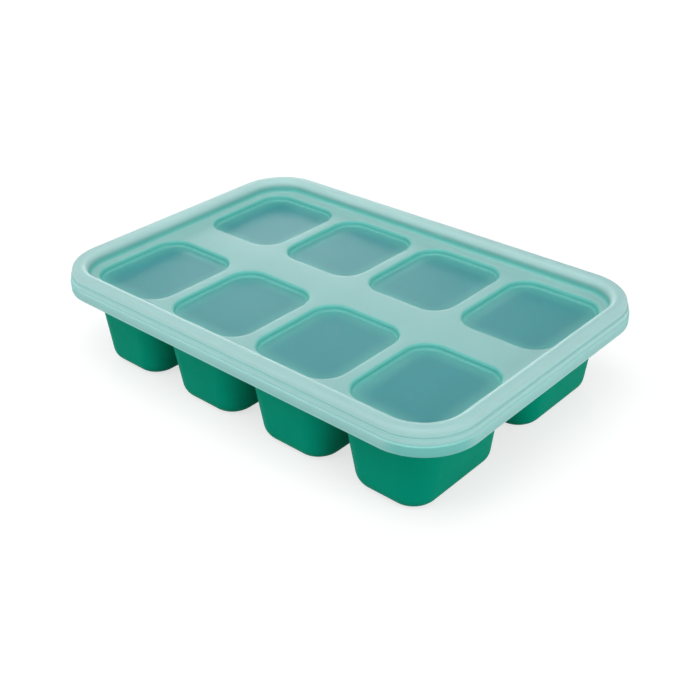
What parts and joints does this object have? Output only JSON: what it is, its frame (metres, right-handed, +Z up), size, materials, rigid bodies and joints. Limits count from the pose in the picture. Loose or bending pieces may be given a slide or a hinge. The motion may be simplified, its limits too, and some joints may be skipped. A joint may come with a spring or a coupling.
{
  "type": "baby food freezer tray",
  "caption": "Silicone freezer tray: rows of tapered push-out cups in one deck, under a frosted clip-down lid with a sunk panel over each cup; the lid lifts off and the cup bases flex up.",
  "frame": {"origin": "on the surface the tray stands on, under the middle of the tray", "axes": "+X along the rows of cups, the tray's length; +Y across the rows; +Z up"},
  "size_m": [0.214, 0.144, 0.0458],
  "materials": {
    "silicone": "satin",
    "lid_plastic": "frosted, see-through"
  },
  "bodies": {
    "tray": {"tray": "silicone"},
    "cup_base_1": {"cup_base_1": "silicone"},
    "cup_base_2": {"cup_base_2": "silicone"},
    "cup_base_3": {"cup_base_3": "silicone"},
    "cup_base_4": {"cup_base_4": "silicone"},
    "cup_base_5": {"cup_base_5": "silicone"},
    "cup_base_6": {"cup_base_6": "silicone"},
    "cup_base_7": {"cup_base_7": "silicone"},
    "cup_base_8": {"cup_base_8": "silicone"},
    "lid": {"lid": "lid_plastic"}
  },
  "joints": [
    {"name": "lid_lift", "type": "slide", "parent": "tray", "child": "lid", "axis": [0, 0, 1], "range_m": [0, 0.06]},
    {"name": "cup_push_1", "type": "slide", "parent": "tray", "child": "cup_base_1", "axis": [0, 0, 1], "range_m": [0, 0.008], "stiffness_N_per_m": 600, "springref_m": -0.0015, "deforming": ["cup_base_1"]},
    {"name": "cup_push_2", "type": "slide", "parent": "tray", "child": "cup_base_2", "axis": [0, 0, 1], "range_m": [0, 0.008], "stiffness_N_per_m": 600, "springref_m": -0.0015, "deforming": ["cup_base_2"]},
    {"name": "cup_push_3", "type": "slide", "parent": "tray", "child": "cup_base_3", "axis": [0, 0, 1], "range_m": [0, 0.008], "stiffness_N_per_m": 600, "springref_m": -0.0015, "deforming": ["cup_base_3"]},
    {"name": "cup_push_4", "type": "slide", "parent": "tray", "child": "cup_base_4", "axis": [0, 0, 1], "range_m": [0, 0.008], "stiffness_N_per_m": 600, "springref_m": -0.0015, "deforming": ["cup_base_4"]},
    {"name": "cup_push_5", "type": "slide", "parent": "tray", "child": "cup_base_5", "axis": [0, 0, 1], "range_m": [0, 0.008], "stiffness_N_per_m": 600, "springref_m": -0.0015, "deforming": ["cup_base_5"]},
    {"name": "cup_push_6", "type": "slide", "parent": "tray", "child": "cup_base_6", "axis": [0, 0, 1], "range_m": [0, 0.008], "stiffness_N_per_m": 600, "springref_m": -0.0015, "deforming": ["cup_base_6"]},
    {"name": "cup_push_7", "type": "slide", "parent": "tray", "child": "cup_base_7", "axis": [0, 0, 1], "range_m": [0, 0.008], "stiffness_N_per_m": 600, "springref_m": -0.0015, "deforming": ["cup_base_7"]},
    {"name": "cup_push_8", "type": "slide", "parent": "tray", "child": "cup_base_8", "axis": [0, 0, 1], "range_m": [0, 0.008], "stiffness_N_per_m": 600, "springref_m": -0.0015, "deforming": ["cup_base_8"]}
  ]
}
